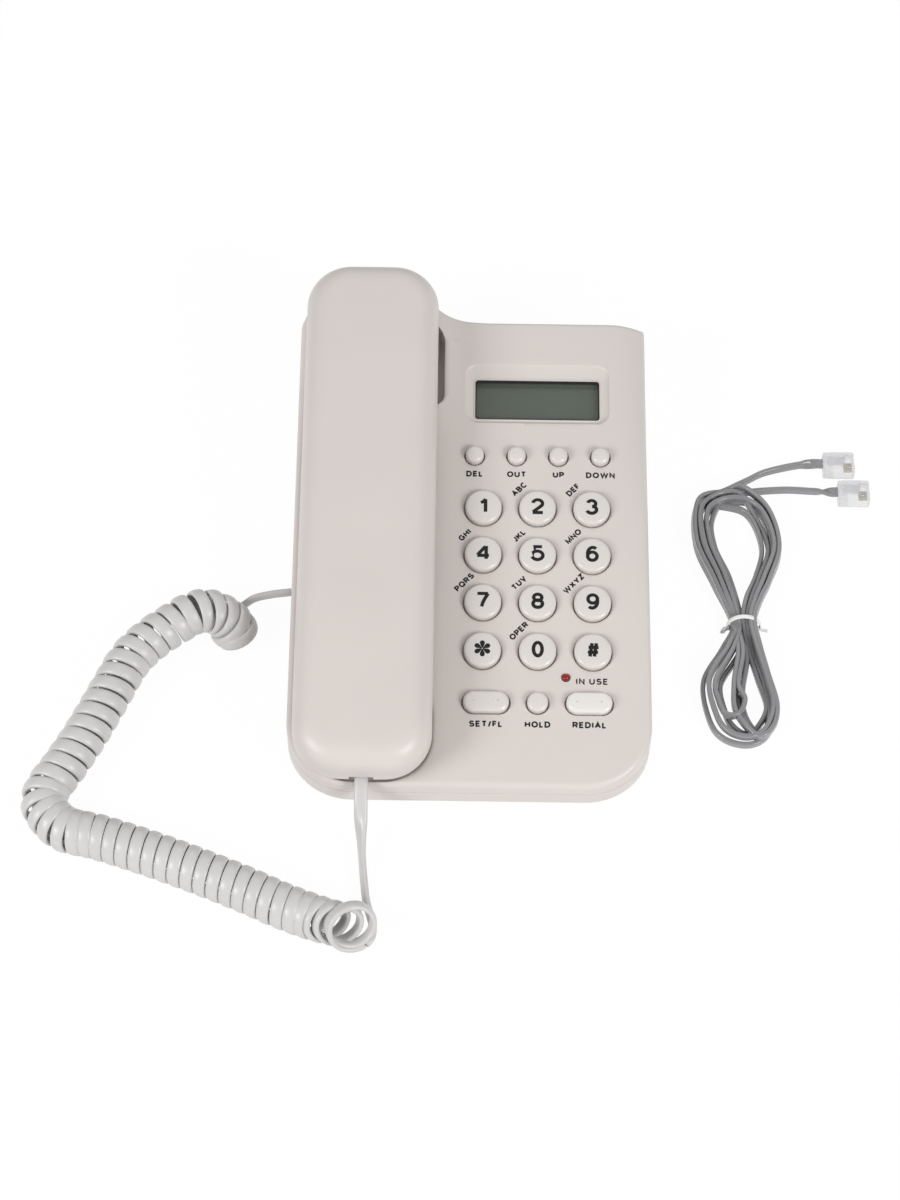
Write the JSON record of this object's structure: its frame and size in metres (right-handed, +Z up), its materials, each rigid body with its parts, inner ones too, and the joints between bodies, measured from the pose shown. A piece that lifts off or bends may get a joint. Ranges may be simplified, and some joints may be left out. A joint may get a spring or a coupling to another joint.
{
  "type": "corded landline phone",
  "caption": "Corded desk telephone with a sloped base, keypad, small display and cradle, a handset on a curly cord and a tied line cord.",
  "frame": {"origin": "middle of the phone's footprint on the table, without its cords", "axes": "+X to the right as the user faces the keys, +Y from the user to the rear, +Z up"},
  "size_m": [0.3108, 0.2605, 0.061],
  "materials": {
    "body_plastic": "satin",
    "key_plastic": "satin",
    "redial_plastic": "satin",
    "rubber": "matte",
    "steel": "satin",
    "clear_plastic": "gloss",
    "lcd_glass": "gloss",
    "white_plastic": "satin",
    "connector_rubber": "matte",
    "circuit_board": "satin",
    "membrane_rubber": "matte",
    "lamp_red": "gloss",
    "dark_plastic": "matte",
    "ribbon": "satin",
    "cord_plastic": "satin",
    "line_cord_plastic": "satin"
  },
  "bodies": {
    "base": {"upper_case": "body_plastic", "lower_case": "body_plastic", "rubber_feet": "rubber", "case_screws": "steel", "display_window": "clear_plastic", "lcd_panel": "lcd_glass", "lcd_holder": "white_plastic", "lcd_connector": "connector_rubber", "key_board": "circuit_board", "main_board": "circuit_board", "board_screws": "steel", "key_membrane": "membrane_rubber", "in_use_lamp": "lamp_red", "ringer": "dark_plastic", "hook_spring": "steel", "hook_switch": "dark_plastic", "line_jack": "dark_plastic", "base_cord_jack": "dark_plastic", "ballast_plate": "steel", "ribbon_cable": "ribbon", "curly_cord": "cord_plastic", "base_cord_tail": "cord_plastic", "base_cord_plug": "clear_plastic", "line_cord_hank": "line_cord_plastic", "line_cord_tails": "line_cord_plastic", "line_plug_a": "clear_plastic", "line_plug_b": "clear_plastic", "cord_tie": "white_plastic"},
    "handset": {"handset_back_shell": "body_plastic", "handset_front_shell": "body_plastic", "receiver": "dark_plastic", "receiver_seal": "rubber", "microphone": "steel", "microphone_boot": "rubber", "handset_weight": "steel", "handset_cord_jack": "dark_plastic", "handset_screws": "steel", "handset_cord_plug": "clear_plastic", "handset_cord_tail": "cord_plastic"},
    "hook": {"hook_plunger": "key_plastic"},
    "key_1_cap": {"key_1": "key_plastic"},
    "key_2_cap": {"key_2": "key_plastic"},
    "key_3_cap": {"key_3": "key_plastic"},
    "key_4_cap": {"key_4": "key_plastic"},
    "key_5_cap": {"key_5": "key_plastic"},
    "key_6_cap": {"key_6": "key_plastic"},
    "key_7_cap": {"key_7": "key_plastic"},
    "key_8_cap": {"key_8": "key_plastic"},
    "key_9_cap": {"key_9": "key_plastic"},
    "key_star_cap": {"key_star": "key_plastic"},
    "key_0_cap": {"key_0": "key_plastic"},
    "key_hash_cap": {"key_hash": "key_plastic"},
    "button_delete_cap": {"button_delete": "key_plastic"},
    "button_out_cap": {"button_out": "key_plastic"},
    "button_up_cap": {"button_up": "key_plastic"},
    "button_down_cap": {"button_down": "key_plastic"},
    "key_set_cap": {"key_set": "key_plastic"},
    "key_hold_cap": {"key_hold": "key_plastic"},
    "key_redial_cap": {"key_redial": "redial_plastic"}
  },
  "joints": [
    {"name": "handset_lift", "type": "slide", "parent": "base", "child": "handset", "axis": [0, -0.1392, 0.9903], "range_m": [0, 0.05]},
    {"name": "hook_rise", "type": "slide", "parent": "base", "child": "hook", "axis": [0, -0.1392, 0.9903], "range_m": [0, 0.004], "deforming": ["hook_spring"]},
    {"name": "key_1_press", "type": "slide", "parent": "base", "child": "key_1_cap", "axis": [0, 0.1392, -0.9903], "range_m": [0, 0.0012], "stiffness_N_per_m": 300, "springref_m": -0.001},
    {"name": "key_2_press", "type": "slide", "parent": "base", "child": "key_2_cap", "axis": [0, 0.1392, -0.9903], "range_m": [0, 0.0012], "stiffness_N_per_m": 300, "springref_m": -0.001},
    {"name": "key_3_press", "type": "slide", "parent": "base", "child": "key_3_cap", "axis": [0, 0.1392, -0.9903], "range_m": [0, 0.0012], "stiffness_N_per_m": 300, "springref_m": -0.001},
    {"name": "key_4_press", "type": "slide", "parent": "base", "child": "key_4_cap", "axis": [0, 0.1392, -0.9903], "range_m": [0, 0.0012], "stiffness_N_per_m": 300, "springref_m": -0.001},
    {"name": "key_5_press", "type": "slide", "parent": "base", "child": "key_5_cap", "axis": [0, 0.1392, -0.9903], "range_m": [0, 0.0012], "stiffness_N_per_m": 300, "springref_m": -0.001},
    {"name": "key_6_press", "type": "slide", "parent": "base", "child": "key_6_cap", "axis": [0, 0.1392, -0.9903], "range_m": [0, 0.0012], "stiffness_N_per_m": 300, "springref_m": -0.001},
    {"name": "key_7_press", "type": "slide", "parent": "base", "child": "key_7_cap", "axis": [0, 0.1392, -0.9903], "range_m": [0, 0.0012], "stiffness_N_per_m": 300, "springref_m": -0.001},
    {"name": "key_8_press", "type": "slide", "parent": "base", "child": "key_8_cap", "axis": [0, 0.1392, -0.9903], "range_m": [0, 0.0012], "stiffness_N_per_m": 300, "springref_m": -0.001},
    {"name": "key_9_press", "type": "slide", "parent": "base", "child": "key_9_cap", "axis": [0, 0.1392, -0.9903], "range_m": [0, 0.0012], "stiffness_N_per_m": 300, "springref_m": -0.001},
    {"name": "key_star_press", "type": "slide", "parent": "base", "child": "key_star_cap", "axis": [0, 0.1392, -0.9903], "range_m": [0, 0.0012], "stiffness_N_per_m": 300, "springref_m": -0.001},
    {"name": "key_0_press", "type": "slide", "parent": "base", "child": "key_0_cap", "axis": [0, 0.1392, -0.9903], "range_m": [0, 0.0012], "stiffness_N_per_m": 300, "springref_m": -0.001},
    {"name": "key_hash_press", "type": "slide", "parent": "base", "child": "key_hash_cap", "axis": [0, 0.1392, -0.9903], "range_m": [0, 0.0012], "stiffness_N_per_m": 300, "springref_m": -0.001},
    {"name": "button_delete_press", "type": "slide", "parent": "base", "child": "button_delete_cap", "axis": [0, 0.1392, -0.9903], "range_m": [0, 0.0012], "stiffness_N_per_m": 300, "springref_m": -0.001},
    {"name": "button_out_press", "type": "slide", "parent": "base", "child": "button_out_cap", "axis": [0, 0.1392, -0.9903], "range_m": [0, 0.0012], "stiffness_N_per_m": 300, "springref_m": -0.001},
    {"name": "button_up_press", "type": "slide", "parent": "base", "child": "button_up_cap", "axis": [0, 0.1392, -0.9903], "range_m": [0, 0.0012], "stiffness_N_per_m": 300, "springref_m": -0.001},
    {"name": "button_down_press", "type": "slide", "parent": "base", "child": "button_down_cap", "axis": [0, 0.1392, -0.9903], "range_m": [0, 0.0012], "stiffness_N_per_m": 300, "springref_m": -0.001},
    {"name": "key_set_press", "type": "slide", "parent": "base", "child": "key_set_cap", "axis": [0, 0.1392, -0.9903], "range_m": [0, 0.0012], "stiffness_N_per_m": 300, "springref_m": -0.001},
    {"name": "key_hold_press", "type": "slide", "parent": "base", "child": "key_hold_cap", "axis": [0, 0.1392, -0.9903], "range_m": [0, 0.0012], "stiffness_N_per_m": 300, "springref_m": -0.001},
    {"name": "key_redial_press", "type": "slide", "parent": "base", "child": "key_redial_cap", "axis": [0, 0.1392, -0.9903], "range_m": [0, 0.0012], "stiffness_N_per_m": 300, "springref_m": -0.001}
  ],
  "couplings": [
    {"joint": "hook_rise", "follows": "handset_lift", "ratio": 0.08}
  ]
}
